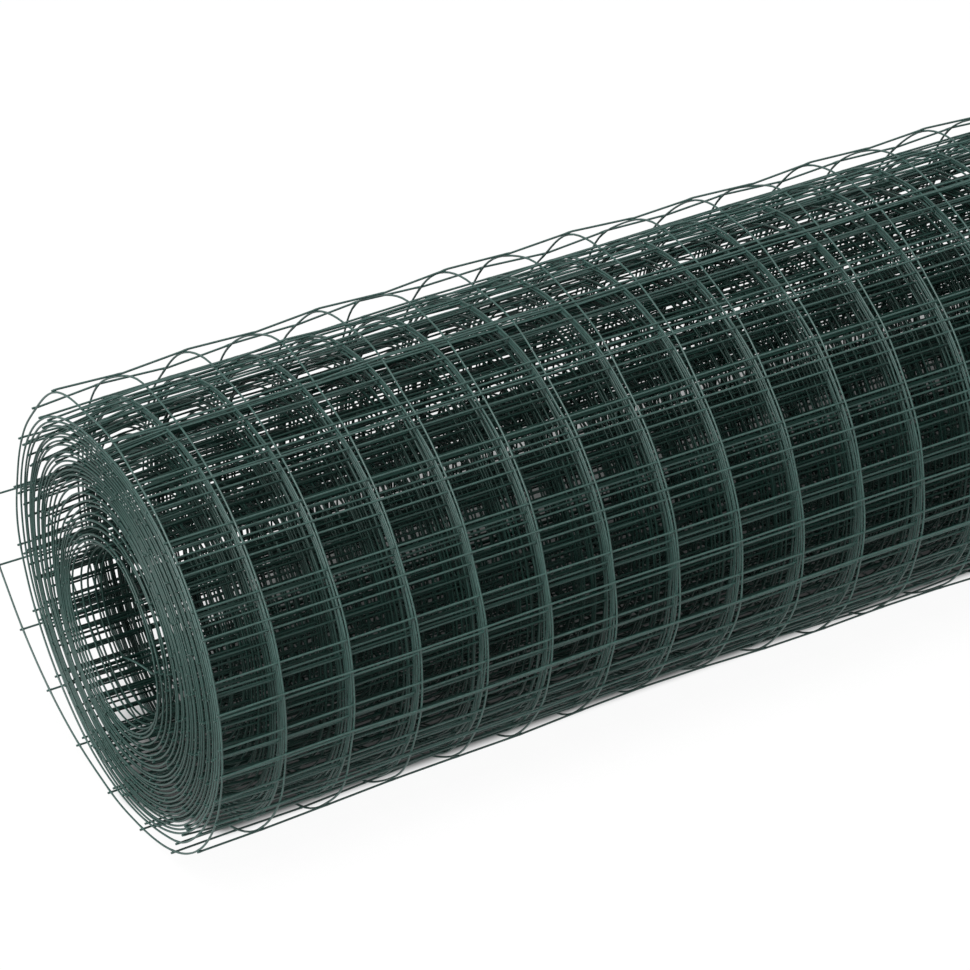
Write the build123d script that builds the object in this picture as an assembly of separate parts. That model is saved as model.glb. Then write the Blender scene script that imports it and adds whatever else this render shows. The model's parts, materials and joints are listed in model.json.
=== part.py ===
from build123d import *
import math
import os

# A roll of welded wire mesh, lying on its side. The sheet is wound round an open bore into a coil, whose turns
# show as a spiral on both ends. Its outermost lap is loose: it leaves the coil low at the back, stands off it
# over the top and the front, passes under it and ends in a free flap behind it.
# X runs along the roll, -Y is its front and Z is up. The origin is under the middle of its box.

# The mesh sheet
cell_size = 25.4          # square cell, from wire to wire
cell_count = 20           # cells over the sheet's width, which is the roll's length
edge_overhang = 1.0       # cross wires stand this far past the edge wires
wire_diameter = 0.75      # steel wire with its plastic coat
sheet_thickness = 2 * wire_diameter    # a cross wire lies on each line wire

# The coil
bore_radius = 27.0
coil_radius = 71.0
gap_width = 0.9           # the turns lie close in pairs, with this gap from one pair to the next
groove_depth = 10.0       # how far the gaps are cut into each end

# The loose outer lap, as tangent arcs from the coil to the tip of the flap
lap_start_angle = -42.5   # where it leaves the coil, from level at the back
lap_lift_angle = 4.0      # its lean away from the coil's own round there
lap_radius_shares = (1.085, 0.309, 1.212, 0.976, 1.72, 5.321)    # of coil_radius
lap_sweep_angles = (108.2, 14.8, 101.4, 85.9, 52.6, 5.7)    # back, shoulder, top and front, heel, bottom, flap

roll_length = cell_count * cell_size + 2 * edge_overhang
pair_width = sheet_thickness + wire_diameter    # a line wire, a cross wire and the next turn's line wire
pair_pitch = pair_width + gap_width
pair_count = round((coil_radius - bore_radius) / pair_pitch)
groove_start_radius = bore_radius + pair_width + gap_width / 2
groove_half_turns = 2 * pair_count - 3


def spiral_side(offset):
    """Half circles that step outwards by half a pair of turns, on one side of the groove's middle line."""
    half_turns = []
    for index in range(groove_half_turns):
        centre = (index % 2) * pair_pitch / 2
        radius = groove_start_radius + index * pair_pitch / 2 + offset
        half_turns.append(CenterArc((centre, 0), radius, index * 180, 180))
    return half_turns


def lap_side(offset):
    """The lap's tangent arcs, on its outer face for a positive offset and on its inner face for a negative one."""
    heading = lap_start_angle + 90 - lap_lift_angle
    outward = Vector(1, 0).rotate(Axis.Z, heading - 90)
    start = Vector(coil_radius - sheet_thickness, 0).rotate(Axis.Z, lap_start_angle) + outward * offset
    arcs = []
    for share, sweep in zip(lap_radius_shares, lap_sweep_angles):
        direction = Vector(1, 0).rotate(Axis.Z, heading)
        arcs.append(JernArc(start, direction, share * coil_radius + offset, sweep))
        start = arcs[-1] @ 1
        heading += sweep
    return arcs


def strip_face(side, half_width):
    """The flat band between a run of arcs and the same run on the band's other side."""
    outer = side(half_width)
    inner = side(-half_width)
    first_cap = Line(inner[0] @ 0, outer[0] @ 0)
    last_cap = Line(outer[-1] @ 1, inner[-1] @ 1)
    return make_face(outer + [last_cap] + inner + [first_cap])


def make_coil():
    """The turned coil, with the gap between its pairs of turns cut into both ends."""
    wall = Plane.XY * Pos(0, (bore_radius + coil_radius) / 2) * Rectangle(roll_length, coil_radius - bore_radius)
    coil = revolve(wall, Axis.X)
    groove = extrude(Plane.YZ * strip_face(spiral_side, gap_width / 2), groove_depth)
    near_end = Pos(-roll_length / 2, 0, 0)
    far_end = Pos(roll_length / 2 - groove_depth, 0, 0)
    return coil - near_end * groove - far_end * groove


def make_loose_lap():
    """The outermost lap and its flap, as long as the roll."""
    lap = extrude(Plane.YZ * strip_face(lap_side, sheet_thickness / 2), roll_length)
    return Pos(-roll_length / 2, 0, 0) * lap


roll = make_coil() + make_loose_lap()
box = roll.bounding_box()
to_origin = Pos(0, -(box.min.Y + box.max.Y) / 2, -box.min.Z)
roll = to_origin * roll

os.makedirs("parts", exist_ok=True)
export_step(roll, "parts/mesh_roll.step")

axis_y, axis_z = to_origin.position.Y, to_origin.position.Z
centre = roll.center(CenterOf.MASS)
print(f"coil axis at Y {axis_y:.2f}, Z {axis_z:.2f}; box {box.size.X:.1f} x {box.size.Y:.1f} x {box.size.Z:.1f}")
print(f"{2 * pair_count} turns in the coil")
print(f"centre of mass at Y {centre.Y:.2f}, Z {centre.Z:.2f}; volume {roll.volume / 1000:.0f} cm3")
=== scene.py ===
import json
import math

import bpy
import numpy as np
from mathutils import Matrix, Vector


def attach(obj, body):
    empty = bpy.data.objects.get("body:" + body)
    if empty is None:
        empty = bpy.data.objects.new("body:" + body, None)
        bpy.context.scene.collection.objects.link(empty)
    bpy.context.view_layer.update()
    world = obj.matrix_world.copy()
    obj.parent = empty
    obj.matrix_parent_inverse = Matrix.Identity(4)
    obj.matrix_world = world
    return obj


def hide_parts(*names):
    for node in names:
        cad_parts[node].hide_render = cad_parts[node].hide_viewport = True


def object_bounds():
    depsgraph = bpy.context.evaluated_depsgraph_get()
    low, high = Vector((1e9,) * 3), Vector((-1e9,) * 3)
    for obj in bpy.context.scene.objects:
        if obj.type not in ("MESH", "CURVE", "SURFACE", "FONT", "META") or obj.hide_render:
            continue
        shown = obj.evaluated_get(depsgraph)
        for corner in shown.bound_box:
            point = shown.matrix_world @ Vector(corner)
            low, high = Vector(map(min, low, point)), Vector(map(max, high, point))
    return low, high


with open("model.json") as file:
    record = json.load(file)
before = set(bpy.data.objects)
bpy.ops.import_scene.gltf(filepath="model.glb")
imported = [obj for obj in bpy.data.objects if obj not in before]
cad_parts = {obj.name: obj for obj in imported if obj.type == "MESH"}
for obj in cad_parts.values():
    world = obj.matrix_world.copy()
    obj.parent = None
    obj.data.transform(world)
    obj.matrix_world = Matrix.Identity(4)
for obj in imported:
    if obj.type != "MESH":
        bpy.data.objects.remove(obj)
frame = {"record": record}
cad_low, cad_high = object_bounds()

# A roll of green plastic-coated welded mesh, lying on its side. The sheet is two sets of wires: line wires,
# which run round the roll, and cross wires, which lie outside them along the roll. Both follow one wound
# path. X runs along the roll, -Y is its front and Z is up. Lengths are in metres unless a comment says mm,
# and angles are in degrees.

mm = 0.001

# The sheet
wire_diameter = 0.75 * mm
line_wire_spacing = 25.4 * mm
cross_wire_spacing = 24.2 * mm
edge_cell_trim = 1.6 * mm           # the cell along each edge of the sheet is this much narrower
cross_wire_overhang = 0.9 * mm      # past the edge line wire
tip_overhang = 1.5 * mm             # line wires past the last cross wire, at the flap
weld_sink = 0.12                    # share of a diameter that the wires are pressed into each other at a weld
weld_swell = 1.16                   # the coat is this much thicker where it runs over a weld
wire_sides_level = 1                # bevel resolution: 1 gives six sides
line_wire_steps = 6                 # straight steps from one weld to the next
near_wire_steps = 10                # and on the line wire at the near end
cross_wire_shares = (0.06, 0.94)    # between these shares of a cell the coat of a cross wire isn't swollen
line_wire_pieces = 4                # meshes that the wires are joined into, each under 200,000 triangles
cross_wire_pieces = 2

# The wound path, as radii about the coil's axis. An angle of 0 is the front, 90 the top, 180 the back and 270
# the bottom, and it grows inwards along the sheet from the flap's tip.
coil_axis = Vector(frame["record"]["mounts"][0]["pos_m"])
loose_lap = (    # angle, radius in mm: flap, bottom, heel, front, top, back and bottom again
    (-176, 111.0), (-163, 97.5), (-151, 89.6), (-136, 82.4), (-118.5, 76.6), (-105, 74.0), (-95, 73.7),
    (-84, 73.6), (-75, 74.4), (-65, 75.7), (-55, 76.9), (-46, 77.4), (-37, 77.5), (-28, 77.2), (-15, 76.4),
    (0, 76.1), (30, 75.9), (50, 75.9), (62, 76.6), (75, 77.7), (90, 80.3), (100, 82.0), (107, 83.6),
    (115, 84.0), (122, 83.4), (131, 82.1), (140, 80.5), (148, 78.9), (160, 77.7), (180, 75.9), (197, 72.9),
    (212, 70.3), (230, 68.4), (250, 68.3), (265, 68.4), (275, 68.8), (285, 69.5), (295, 70.9), (305, 72.9),
    (318, 73.2), (332, 73.3), (345, 73.7),
)
turn_step = 45
turn_radii = (    # in mm, from the outermost turn inwards, each at 0, 45, 90 and so on to 315 degrees
    (74.4, 73.3, 72.4, 77.4, 71.6, 64.6, 66.6, 70.2),
    (72.7, 72.0, 71.1, 75.4, 68.3, 63.2, 64.5, 68.9),
    (71.2, 69.8, 69.8, 73.6, 67.2, 62.2, 63.7, 67.5),
    (69.6, 68.6, 68.4, 70.4, 64.4, 60.3, 61.6, 66.0),
    (67.2, 65.8, 66.8, 69.4, 63.4, 59.3, 60.8, 64.4),
    (66.0, 64.6, 65.2, 68.3, 62.4, 58.3, 60.0, 63.1),
    (63.0, 61.9, 63.6, 67.0, 61.4, 57.3, 58.0, 61.8),
    (61.4, 60.7, 61.8, 64.0, 58.8, 53.9, 57.2, 60.2),
    (60.2, 58.4, 60.4, 62.6, 57.7, 53.0, 55.2, 58.7),
    (58.0, 57.2, 59.0, 61.0, 55.2, 52.1, 54.4, 57.4),
    (56.9, 54.6, 57.6, 59.4, 54.2, 51.2, 52.5, 55.8),
    (55.0, 53.4, 56.4, 57.6, 53.2, 50.3, 51.7, 54.3),
    (53.8, 52.2, 54.9, 55.6, 50.4, 49.4, 50.9, 52.6),
    (52.4, 50.3, 53.7, 53.4, 47.6, 46.9, 48.5, 51.2),
    (51.2, 49.1, 52.5, 51.0, 46.7, 46.0, 47.6, 49.8),
    (49.0, 47.9, 50.6, 48.4, 44.6, 45.1, 45.5, 47.6),
    (47.8, 46.7, 49.2, 44.8, 43.7, 44.2, 44.7, 45.9),
    (45.0, 45.3, 47.9, 42.6, 42.1, 43.3, 43.0, 43.7),
    (43.7, 43.0, 44.6, 41.2, 41.2, 40.8, 42.2, 41.7),
    (39.8, 40.2, 41.4, 39.8, 39.2, 39.8, 39.7, 39.8),
    (36.7, 38.8, 39.2, 37.6, 38.2, 37.4, 38.9, 37.4),
    (33.0, 30.5, 34.9, 35.6, 37.1, 36.5, 37.2, 34.5),
    (29.4, 28.7, 32.6, 33.8, 36.1, 34.4, 36.4, 33.0),
    (28.6, 28.1, 31.5, 32.6, 35.2, 33.6, 34.6, 31.9),
    (28.0, 27.6, 30.5, 31.5, 32.8, 31.2, 33.8, 30.9),
    (27.5, 27.3, 29.6, 30.5, 31.9, 30.4, 33.0, 30.0),
    (27.2, 27.1, 28.8, 29.6, 31.0, 29.6, 31.4, 29.2),
    (27.0, 27.0, 28.2, 28.9, 28.6, 27.0),
)
inner_end_angle = 235               # where the sheet ends in the bore, on the innermost turn
inner_end_radius = 26.2             # in mm
stub_length = 23.0 * mm             # line wires past the innermost cross wire, bent into the bore
stub_bend = 44                      # the near stub turns this far away from its turn
stub_bend_shares = (0.1, 0.5)       # the others turn by a share of it, between these
stub_curl = 0.2                     # share by which a stub turns more at its root than at its end
stub_steps = (0.25, 0.5, 0.75, 1.0)

# The innermost turns have slipped along the roll, so they lie deeper at the near end: turns from the tip, mm
slip_turns = (0, 23.5, 24.5, 26.5, 27.5, 28.5, 28.7)
slip_lengths = (0, 0, 1.0, 5.2, 7.6, 8.8, 9.5)

# Inside the outer turns the sheet sways a little along the roll, though its near edge is nearly even
sway_depth = 3.2 * mm
sway_turns = (4, 9)                 # it begins and is full at these turns
sway_waves = (1.27, 2.13, 3.61)     # in turns
sway_across = 330 * mm              # the sway changes over this length along the roll
sway_free_edge = 70 * mm

# Along the roll the turns lie closer together than at its near edge. Inner ones are pressed outwards by a
# share of their depth, at the bottom all of them by some mm, and at the top turn by turn, so that they lie
# there in groups.
squeeze_angles = (0, 50, 90, 110, 165, 190, 250, 285, 310, 335, 360)
squeeze_shares = (0.3, 0.3, 0.15, 0, 0, 0.2, 0.25, 0.3, 0.35, 0.35, 0.3)
squeeze_lifts = (0, 0, 0, 0, 0, 0, 0, 1.6, 2.4, 1.2, 0)
squeeze_depth = 16                  # the pressing fades over this depth, in mm
top_angles = (60, 112, 142, 188)    # it begins, is full, begins to fade and has gone
top_lifts = (    # in mm, turn by turn from the lap inwards
    0, 0.2, 1.3, 2.1, 4.2, 4.2, 1.7, 2.0, 3.9, 4.1, 2.6, 3.2, 4.0, 4.5, 4.5, 4.5, 4.0, 3.0, 2.0, 1.0, 0,
)
squeeze_outer_depth = -0.2          # what lies further out than this, in mm, is the lap and isn't pressed
squeeze_free_edge = 30 * mm         # it grows over this length from the near edge

# On the front, every second cross wire of the loose lap is at these angles. Those of the outer turns lie in a
# cluster with them: this far above the lap's wire at the cluster's angle, in mm, turn by turn.
lap_wire_angles = (-25.8, 10.1, 49.1, 85.5, 117, 149)
cluster_angle = 29.6
cross_wire_lifts = (9.3, -3.7, 6.7, 3.3, -8.2, 4.5)

# The lap and the coil aren't the same all along the roll: mm from the near end, and by how many mm they stand
# out there
lap_places = (0, 60, 100, 160, 210, 310, 510)
coil_top_bulge = (0, 0.8, 1.0, 1.4, 1.9, 2.6, 2.6)
lap_top_bulge = (0.3, 0.8, 2.0, 2.0, 2.0, 2.0, 2.0)
lap_heel_bulge = (0, -0.6, -1.9, -2.9, -2.7, -1.0, -0.6)
lap_top_angles = (60, 100, 140, 200)        # it begins, is full, begins to fade and has gone
lap_heel_angles = (-85, -60, -42, -8)
lap_weave_depth = 0.8               # at the top its cross wires bow up and down in turn, in mm
lap_weave_length = 50.8             # two cells along the roll, in mm
lap_weave_start = 33                # mm from the near end, where the wire at lap_weave_angle lies lowest
lap_weave_angle = 117
lap_weave_step = 32                 # degrees from that wire to the next but one

dust_and_light_depth = 8.0 * mm               # how far the pale dusty film and the painted light reach between the turns; deeper wires get painted shade
bore_clear_radius = 25.5 * mm       # only the stubs stand inside it, and they get the full pale film as painted light
end_dust_and_light = 0.7                  # pale film and painted light on the turns at the ends of the roll

# Unevenness of a sheet that was wound by hand
ripple_depth = 0.35 * mm
ripple_waves = 5
ripple_along_range = (35, 140)      # wave lengths along the sheet, in mm
ripple_across_range = (60, 260)     # and across it
lap_ripple_share = 2.2              # the loose lap ripples more
lap_length = 520 * mm
ripple_free_edge = 50 * mm          # the near edge lies as wound, and the ripple grows over this length
ripple_seed = 7

# The coat
# The first two greens differ at random; the pale green is partly a dusty film and partly painted light on the
# exposed wires
deep_green, mid_green, pale_and_lit_green = "#041a15", "#072822", "#2c4e48"
plain_green, plain_roughness = "#0d3329", 0.5    # where the pattern isn't read
blotch_size = 18 * mm
grain_size = 1.2 * mm
grain_height = 0.05 * mm
grain_strength = 0.25
coat_roughness = (0.42, 0.58)       # least and most
coat_gloss_painted_shade = (0.2, 0.52)            # painted shade on the sheen: duller deep inside, glossier in the open
coat_ior = 1.53

# The floor, and a painted shadow on it: darker grey paper under and behind the roll. At each edge a direction
# in X and Y, and where along it the painted shadow begins and is full, in metres
floor_size = 14.0
# The second colour is the dark grey of the painted shadow
paper_colour, painted_shadow_colour = "#f4f4f4", "#525554"
paper_white_shares = (0.95, 0.03)   # how far the paper is seen as plain white: in the open, in the painted shadow
painted_shadow_edges = (
    ((1, -0.25, 0), -0.250, -0.243),    # at the near end, towards the back
    ((1, -1.2, 0), -0.300, -0.235),     # behind the near end, seen through the bore
    ((1, 0.6, 0), -0.261, -0.252),      # at the near end, towards the front
    ((-1, 0, 0), -0.330, -0.200),       # at the far end
    ((0, 1, 0), -0.048, -0.041),        # in front
    ((0, -1, 0), -0.215, -0.090),       # behind
)

# The lights, each from a direction off the roll's middle
key_direction, key_spread, key_strength = (-0.8, -0.7, 2.4), math.radians(35), 4.1
fill_direction, fill_width, fill_power = (-2.1, -0.3, 0.36), 0.8, 28
room_strength = 0.085               # the light of the white room, which is seen as plain white

# The photograph's camera
view_azimuth = -30.622
view_elevation = 32.726
view_distance = 1561.578 * mm
view_offset = Vector((-105.887, 4.30, 9.86)) * mm    # from the coil's axis, at the roll's middle
view_target = Vector((0, coil_axis.y, coil_axis.z)) + view_offset
view_lens = 165.69                  # in mm, on the sensor's width
sensor_width = 36.0


def colour(hex_code):
    """An sRGB hex colour as linear RGBA."""
    parts = [int(hex_code[i:i + 2], 16) / 255 for i in (1, 3, 5)]
    linear = [c / 12.92 if c <= 0.04045 else ((c + 0.055) / 1.055) ** 2.4 for c in parts]
    return (*linear, 1.0)


def add_node(tree, kind, settings=None, inputs=None):
    """Adds a node, sets its properties, and sets or links its inputs."""
    node = tree.nodes.new(kind)
    for name, value in (settings or {}).items():
        setattr(node, name, value)
    for name, value in (inputs or {}).items():
        if isinstance(value, bpy.types.NodeSocket):
            tree.links.new(value, node.inputs[name])
        else:
            node.inputs[name].default_value = value
    return node


def new_material(name):
    """An empty node material with its output."""
    material = bpy.data.materials.new(name)
    material.use_nodes = True
    material.node_tree.nodes.clear()
    return material, material.node_tree, add_node(material.node_tree, "ShaderNodeOutputMaterial")


def seen_rays(tree):
    """1 for what the camera sees, straight, through a surface or mirrored, and 0 for what lights the roll."""
    rays = add_node(tree, "ShaderNodeLightPath")
    seen = rays.outputs["Is Camera Ray"]
    for kind in ("Is Transmission Ray", "Is Glossy Ray"):
        seen = add_node(tree, "ShaderNodeMath", {"operation": "MAXIMUM"}, {
            0: seen, 1: rays.outputs[kind]}).outputs[0]
    return seen


# The wound path

def path_stations():
    """The running angle and radius at each station, from the flap's tip to the inner end."""
    angles = [angle for angle, radius in loose_lap]
    radii = [radius for angle, radius in loose_lap]
    for turn, row in enumerate(turn_radii, start=1):
        for step, radius in enumerate(row):
            angles.append(turn * 360 + step * turn_step)
            radii.append(radius)
    angles.append(len(turn_radii) * 360 + inner_end_angle)
    radii.append(inner_end_radius)
    return np.array(angles, float), np.array(radii, float) * mm


station_angles, station_radii = path_stations()
station_slopes = np.gradient(station_radii, station_angles)


def radius_at(angle):
    """The path's radius, as smooth cubic pieces between the stations."""
    index = np.clip(np.searchsorted(station_angles, angle) - 1, 0, len(station_angles) - 2)
    width = station_angles[index + 1] - station_angles[index]
    t = (angle - station_angles[index]) / width
    start, end = station_radii[index], station_radii[index + 1]
    start_slope, end_slope = station_slopes[index] * width, station_slopes[index + 1] * width
    return ((2 * t ** 3 - 3 * t ** 2 + 1) * start + (t ** 3 - 2 * t ** 2 + t) * start_slope
            + (3 * t ** 2 - 2 * t ** 3) * end + (t ** 3 - t ** 2) * end_slope)


def path_points(angle):
    """Y and Z of the path at each running angle."""
    radius = radius_at(angle)
    turn = np.radians(angle)
    return coil_axis.y - radius * np.cos(turn), coil_axis.z + radius * np.sin(turn)


fine_angles = np.arange(station_angles[0], station_angles[-1], 0.5)
fine_y, fine_z = path_points(fine_angles)
fine_lengths = np.concatenate([[0], np.cumsum(np.hypot(np.diff(fine_y), np.diff(fine_z)))])
sheet_length = fine_lengths[-1]


def cross_wire_lengths():
    """Where the cross wires lie along the sheet. Their spacing differs a little from turn to turn."""
    lengths = [0.0, *np.interp(lap_wire_angles, fine_angles, fine_lengths)]
    first = round(lengths[1] / cross_wire_spacing)
    counts = [0, *(first + 2 * step for step in range(len(lap_wire_angles)))]
    for turn, lift in enumerate(cross_wire_lifts, start=1):
        lengths.append(np.interp(cluster_angle + 360 * turn, fine_angles, fine_lengths))
        shift = lift * mm / cross_wire_spacing
        counts.append(round(counts[-1] + (lengths[-1] - lengths[-2]) / cross_wire_spacing + shift) - shift)
    lengths.append(sheet_length)
    counts.append(round(counts[-1] + (lengths[-1] - lengths[-2]) / cross_wire_spacing))
    return np.interp(np.arange(counts[-1] + 1), counts, lengths)


cross_wire_places = cross_wire_lengths()

generator = np.random.default_rng(ripple_seed)
sway_phase = generator.uniform(0, 2 * math.pi, len(sway_waves))
ripple_along = generator.uniform(*ripple_along_range, ripple_waves) * mm
ripple_across = generator.uniform(*ripple_across_range, ripple_waves) * mm
ripple_phase = generator.uniform(0, 2 * math.pi, ripple_waves)


def ripple(along, across):
    """How far the sheet stands out of its wound path, at a length along it and a place across it."""
    waves = [np.sin(2 * math.pi * (along / a + across / b) + phase)
             for a, b, phase in zip(ripple_along, ripple_across, ripple_phase)]
    growth = np.clip((across - cad_low.x) / ripple_free_edge, 0, 1)
    growth = growth * np.interp(along, (0, lap_length), (lap_ripple_share, 1))
    return ripple_depth * growth * np.sum(waves, axis=0) / math.sqrt(ripple_waves)


def sway(angle, across):
    """How far the sheet lies along the roll from its even place, at a running angle and a place across it."""
    waves = [np.sin(2 * math.pi * (angle / 360 / turns + across / sway_across) + phase)
             for turns, phase in zip(sway_waves, sway_phase)]
    growth = np.clip((across - cad_low.x) / sway_free_edge, 0, 1) * np.interp(angle / 360, sway_turns, (0, 1))
    return sway_depth * growth * np.sum(waves, axis=0) / math.sqrt(len(sway_waves))


def squeeze(angle, radius, across):
    """How far outwards the turns lie from their places at the near edge, further along the roll."""
    round_angle = angle % 360
    depth = (radius_at(360 + round_angle) - radius) / mm
    fade = np.exp(-depth / squeeze_depth)
    pressed = np.interp(round_angle, squeeze_angles, squeeze_lifts) * fade
    pressed += depth * np.interp(round_angle, squeeze_angles, squeeze_shares) * fade
    lift = np.interp(angle // 360, range(len(top_lifts)), top_lifts)
    lift = lift * np.interp(round_angle, top_angles, (0, 1, 1, 0))
    growth = np.clip((across - cad_low.x) / squeeze_free_edge, 0, 1)
    return np.where(depth < squeeze_outer_depth, 0, pressed + lift) * growth * mm


def bulge(angle, across):
    """How far the lap and the coil stand out of their path, at a running angle and a place across it."""
    place = (across - cad_low.x) / mm
    top = np.interp(place, lap_places, lap_top_bulge) * np.interp(angle, lap_top_angles, (0, 1, 1, 0))
    heel = np.interp(place, lap_places, lap_heel_bulge) * np.interp(angle, lap_heel_angles, (0, 1, 1, 0))
    coil = np.interp(place, lap_places, coil_top_bulge) * np.interp(angle % 360, lap_top_angles, (0, 1, 1, 0))
    weave = -lap_weave_depth * np.cos(2 * math.pi * (place - lap_weave_start) / lap_weave_length)
    weave = weave * np.cos(2 * math.pi * (angle - lap_weave_angle) / lap_weave_step)
    weave = weave * np.interp(angle, lap_top_angles, (0, 1, 1, 0))
    return (top + heel + weave + np.where(angle < 360, 0, coil)) * mm


def sheet_point(along, across, outwards):
    """Points of the wound sheet: a length from the tip, a place along X, and a distance out of the path."""
    along, across = np.broadcast_arrays(np.asarray(along, float), np.asarray(across, float))
    angle = np.interp(along, fine_lengths, fine_angles)
    radius = radius_at(angle)
    radius = radius + squeeze(angle, radius, across) + ripple(along, across) + bulge(angle, across) + outwards
    turn = np.radians(angle)
    slip = np.interp(angle / 360, slip_turns, slip_lengths) * mm + sway(angle, across)
    y, z = coil_axis.y - radius * np.cos(turn), coil_axis.z + radius * np.sin(turn)
    return np.stack([across + slip, y, z], axis=1)


# The wires

def wire_stops(welds, shares):
    """Places along a wire: each weld, where the coat is swollen, and points at shares of each cell."""
    places, swells = [], []
    for weld, following in zip(welds[:-1], welds[1:]):
        places += [weld, *(weld + (following - weld) * np.array(shares))]
        swells += [weld_swell] + [1.0] * len(shares)
    return np.array(places + [welds[-1]]), np.array(swells + [weld_swell])


def line_wire(across, first):
    """One line wire: from past the last cross wire at the tip to its stub in the bore."""
    steps = near_wire_steps if first else line_wire_steps
    along, swells = wire_stops(cross_wire_places, np.linspace(0, 1, steps + 1)[1:-1])
    points = sheet_point(along, across, 0)
    tip = points[0] - (points[1] - points[0]) / np.linalg.norm(points[1] - points[0]) * tip_overhang
    heading = points[-1] - points[-2]
    heading /= np.linalg.norm(heading)
    inwards = np.array([0, coil_axis.y, coil_axis.z]) - points[-1] * (0, 1, 1)
    inwards -= heading * (inwards @ heading)
    inwards /= np.linalg.norm(inwards)
    bend = math.radians(stub_bend) * (1 if first else generator.uniform(*stub_bend_shares))
    stub = []
    for share in stub_steps:
        turn = bend * (1 + stub_curl * (1 - share))
        stub.append(points[-1] + (heading * math.cos(turn) + inwards * math.sin(turn)) * stub_length * share)
    return np.concatenate([[tip], points, stub]), np.concatenate([[1.0], swells, np.ones(len(stub))])


def cross_wire(along, welds):
    """One cross wire, on the outside of the line wires, past the edge wires at both ends."""
    gap = (1 - weld_sink) * wire_diameter
    places, swells = wire_stops(welds, cross_wire_shares)
    places = np.concatenate([[welds[0] - cross_wire_overhang], places, [welds[-1] + cross_wire_overhang]])
    swells = np.concatenate([[1.0], swells, [1.0]])
    return sheet_point(along, places, gap), swells


def dust_and_painted_light(points):
    """Painted light by place, partly a dusty film: 1 on the outer turns and stubs, less at the ends, 0 deep
    inside.
    """
    away = points - (0, coil_axis.y, coil_axis.z)
    angle = np.degrees(np.arctan2(away[:, 2], -away[:, 1])) % 360
    depth = radius_at(360 + angle) - np.hypot(away[:, 1], away[:, 2])
    from_end = np.minimum(points[:, 0] - cad_low.x, cad_high.x - points[:, 0])
    outside = 1 - np.clip(depth / dust_and_light_depth, 0, 1)
    at_end = 1 - np.clip(from_end / dust_and_light_depth, 0, 1)
    # The stubs in the bore get the full painted light.
    in_bore = np.hypot(away[:, 1], away[:, 2]) < bore_clear_radius
    return np.where(in_bore, 1.0, np.maximum(outside, end_dust_and_light * at_end))


def make_wires(name, wires, material):
    """Sweeps a round section along each wire and joins them into one mesh piece."""
    curve = bpy.data.curves.new(name + "_centres", "CURVE")
    curve.dimensions = "3D"
    curve.bevel_depth = wire_diameter / 2
    curve.bevel_resolution = wire_sides_level
    curve.use_fill_caps = True
    for points, swells in wires:
        spline = curve.splines.new("POLY")
        spline.points.add(len(points) - 1)
        spline.points.foreach_set("co", np.column_stack([points, np.ones(len(points))]).ravel())
        spline.points.foreach_set("radius", swells)
        spline.use_smooth = True
    centres = bpy.data.objects.new(name + "_centres", curve)
    bpy.context.scene.collection.objects.link(centres)
    depsgraph = bpy.context.evaluated_depsgraph_get()
    mesh = bpy.data.meshes.new_from_object(centres.evaluated_get(depsgraph))
    bpy.data.objects.remove(centres)
    mesh.name = name
    mesh.materials.clear()
    mesh.materials.append(material)
    points = np.empty(len(mesh.vertices) * 3)
    mesh.vertices.foreach_get("co", points)
    # Each point's share of painted light and shade, partly a dusty film, for the coat to read
    dust_and_light_mask = mesh.attributes.new("dust_and_painted_light", "FLOAT", "POINT")
    dust_and_light_mask.data.foreach_set("value", dust_and_painted_light(points.reshape(-1, 3)))
    piece = bpy.data.objects.new(name, mesh)
    bpy.context.scene.collection.objects.link(piece)
    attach(piece, "root")
    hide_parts("mesh_roll")


# The materials

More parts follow.
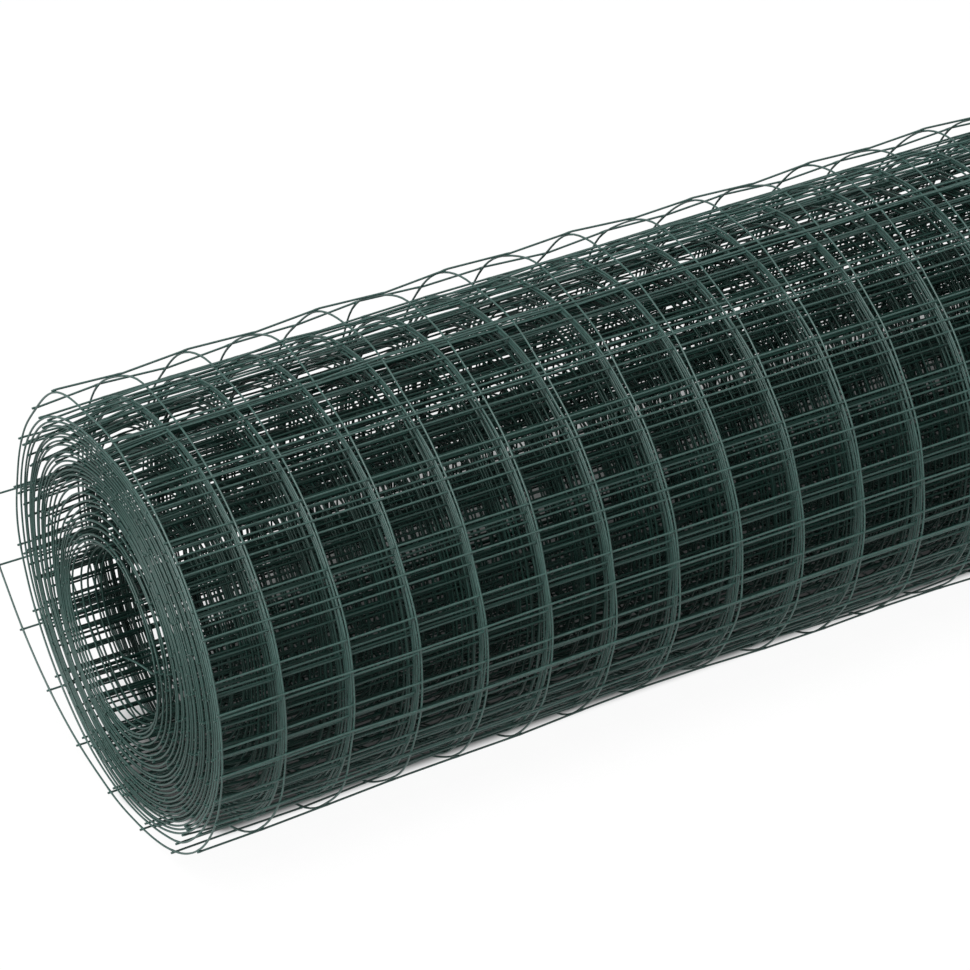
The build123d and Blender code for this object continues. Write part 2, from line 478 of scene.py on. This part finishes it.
def coated_wire_material():
    """Extruded moss green PVC on steel wire: a smooth, semi-matt skin, with painted light and shade: a pale,
    dusty, glossier coat on exposed wires, darker and duller deep inside.
    """
    material, tree, output = new_material("green_pvc_coat")
    place = add_node(tree, "ShaderNodeTexCoord").outputs["Object"]
    blotch = add_node(tree, "ShaderNodeTexNoise", inputs={
        "Vector": place, "Scale": 1 / blotch_size, "Detail": 4.0})
    grain = add_node(tree, "ShaderNodeTexNoise", inputs={
        "Vector": place, "Scale": 1 / grain_size, "Detail": 2.0})
    green = add_node(tree, "ShaderNodeMix", {"data_type": "RGBA"}, {"Factor": blotch.outputs["Fac"]})
    green.inputs["A"].default_value = colour(deep_green)
    green.inputs["B"].default_value = colour(mid_green)
    # Painted light and shade, partly a dusty film: exposed wires, the ends and the stubs paler and glossier,
    # deep wires darker
    dust_and_light_mask = add_node(tree, "ShaderNodeAttribute", {"attribute_name": "dust_and_painted_light"})
    dusty_and_lit_factor = add_node(tree, "ShaderNodeMath", {"operation": "MULTIPLY"})
    tree.links.new(dust_and_light_mask.outputs["Fac"], dusty_and_lit_factor.inputs[0])
    tree.links.new(grain.outputs["Fac"], dusty_and_lit_factor.inputs[1])
    pale_film_and_painted_light = add_node(tree, "ShaderNodeMix", {"data_type": "RGBA"}, {
        "Factor": dusty_and_lit_factor.outputs[0], "A": green.outputs["Result"], "B": colour(pale_and_lit_green)})
    rough = add_node(tree, "ShaderNodeMapRange", inputs={
        "Value": grain.outputs["Fac"], "To Min": coat_roughness[0], "To Max": coat_roughness[1]})
    bump = add_node(tree, "ShaderNodeBump", inputs={
        "Height": grain.outputs["Fac"], "Strength": grain_strength, "Distance": grain_height})
    # Painted shade on the sheen: deep wires reflect less
    gloss_painted_shade = add_node(tree, "ShaderNodeMapRange", inputs={
        "Value": dust_and_light_mask.outputs["Fac"], "To Min": coat_gloss_painted_shade[0], "To Max": coat_gloss_painted_shade[1]})
    skin = add_node(tree, "ShaderNodeBsdfPrincipled", inputs={
        "Base Color": pale_film_and_painted_light.outputs["Result"], "Roughness": rough.outputs["Result"],
        "Normal": bump.outputs["Normal"], "IOR": coat_ior, "Specular IOR Level": gloss_painted_shade.outputs["Result"]})
    skin.inputs["Base Color"].default_value = colour(plain_green)
    skin.inputs["Roughness"].default_value = plain_roughness
    tree.links.new(skin.outputs["BSDF"], output.inputs["Surface"])
    return material


def floor_material():
    """Matt white studio paper, seen as nearly white, with a painted shadow: dark grey paper under and behind
    the roll.
    """
    material, tree, output = new_material("white_paper")
    place = add_node(tree, "ShaderNodeTexCoord").outputs["Object"]
    under = 1.0
    # The painted shadow's mask, from its edges
    for direction, outer, inner in painted_shadow_edges:
        reach = add_node(tree, "ShaderNodeVectorMath", {"operation": "DOT_PRODUCT"}, {0: place, 1: direction})
        fade = add_node(tree, "ShaderNodeMapRange", {"interpolation_type": "SMOOTHSTEP"}, {
            "Value": reach.outputs["Value"], "From Min": outer, "From Max": inner})
        under = add_node(tree, "ShaderNodeMath", {"operation": "MULTIPLY"}, {
            0: fade.outputs["Result"], 1: under}).outputs[0]
    level = add_node(tree, "ShaderNodeMapRange", inputs={
        "Value": under, "To Min": paper_white_shares[0], "To Max": paper_white_shares[1]})
    share = add_node(tree, "ShaderNodeMath", {"operation": "MULTIPLY"}, {
        0: seen_rays(tree), 1: level.outputs["Result"]})
    # The paper is painted dark grey in the painted shadow
    shade = add_node(tree, "ShaderNodeMix", {"data_type": "RGBA"}, {"Factor": under})
    shade.inputs["A"].default_value = colour(paper_colour)
    shade.inputs["B"].default_value = colour(painted_shadow_colour)
    paper = add_node(tree, "ShaderNodeBsdfDiffuse", inputs={"Color": shade.outputs["Result"]})
    white = add_node(tree, "ShaderNodeEmission", inputs={"Color": colour("#ffffff"), "Strength": 1.0})
    both = add_node(tree, "ShaderNodeMixShader", inputs={
        0: share.outputs[0], 1: paper.outputs[0], 2: white.outputs[0]})
    tree.links.new(both.outputs[0], output.inputs["Surface"])
    return material


# The roll

rings = np.arange(round((cad_high.x - cad_low.x) / line_wire_spacing) + 1) * line_wire_spacing
rings -= rings[-1] / 2
rings[0] += edge_cell_trim
rings[-1] -= edge_cell_trim

coat = coated_wire_material()
line_wires = [line_wire(across, first=(across == rings[0])) for across in rings]
cross_wires = [cross_wire(along, rings) for along in cross_wire_places]
for part, wires in enumerate(np.array_split(np.arange(len(line_wires)), line_wire_pieces), start=1):
    make_wires(f"line_wires_{part}", [line_wires[i] for i in wires], coat)
for part, wires in enumerate(np.array_split(np.arange(len(cross_wires)), cross_wire_pieces), start=1):
    make_wires(f"cross_wires_{part}", [cross_wires[i] for i in wires], coat)

# The floor, lights and camera

bpy.ops.mesh.primitive_plane_add(size=floor_size)
floor = bpy.context.object
floor.name = "studio_floor"
floor.data.materials.append(floor_material())

world = bpy.data.worlds.new("white_room")
bpy.context.scene.world = world
world.use_nodes = True
world.node_tree.nodes.clear()
room_level = add_node(world.node_tree, "ShaderNodeMapRange", inputs={
    "Value": seen_rays(world.node_tree), "To Min": room_strength, "To Max": 1.0})
room_light = add_node(world.node_tree, "ShaderNodeBackground", inputs={
    "Color": colour("#ffffff"), "Strength": room_level.outputs["Result"]})
add_node(world.node_tree, "ShaderNodeOutputWorld", inputs={"Surface": room_light.outputs[0]})


def soft_light(name, kind, direction, width, strength):
    """A large softbox, or a broad and distant studio light, that shines at the roll from a direction."""
    lamp = bpy.data.lights.new(name, kind)
    if kind == "SUN":
        lamp.angle = width
    else:
        lamp.shape = "SQUARE"
        lamp.size = width
    lamp.energy = strength
    light = bpy.data.objects.new(name, lamp)
    light.location = (cad_low + cad_high) / 2 + Vector(direction)
    light.rotation_mode = "QUATERNION"
    light.rotation_quaternion = (-Vector(direction)).to_track_quat("-Z", "Y")
    bpy.context.scene.collection.objects.link(light)


soft_light("key_light", "SUN", key_direction, key_spread, key_strength)
soft_light("fill_softbox", "AREA", fill_direction, fill_width, fill_power)

azimuth, elevation = math.radians(view_azimuth), math.radians(view_elevation)
back = Vector((math.sin(azimuth) * math.cos(elevation), -math.cos(azimuth) * math.cos(elevation),
               math.sin(elevation)))
camera = bpy.data.objects.new("camera", bpy.data.cameras.new("camera"))
camera.data.lens = view_lens
camera.data.sensor_width = sensor_width
camera.location = view_target + back * view_distance
camera.rotation_mode = "QUATERNION"
camera.rotation_quaternion = (-back).to_track_quat("-Z", "Y")
bpy.context.scene.collection.objects.link(camera)
bpy.context.scene.camera = camera
bpy.context.scene.view_settings.view_transform = "Standard"
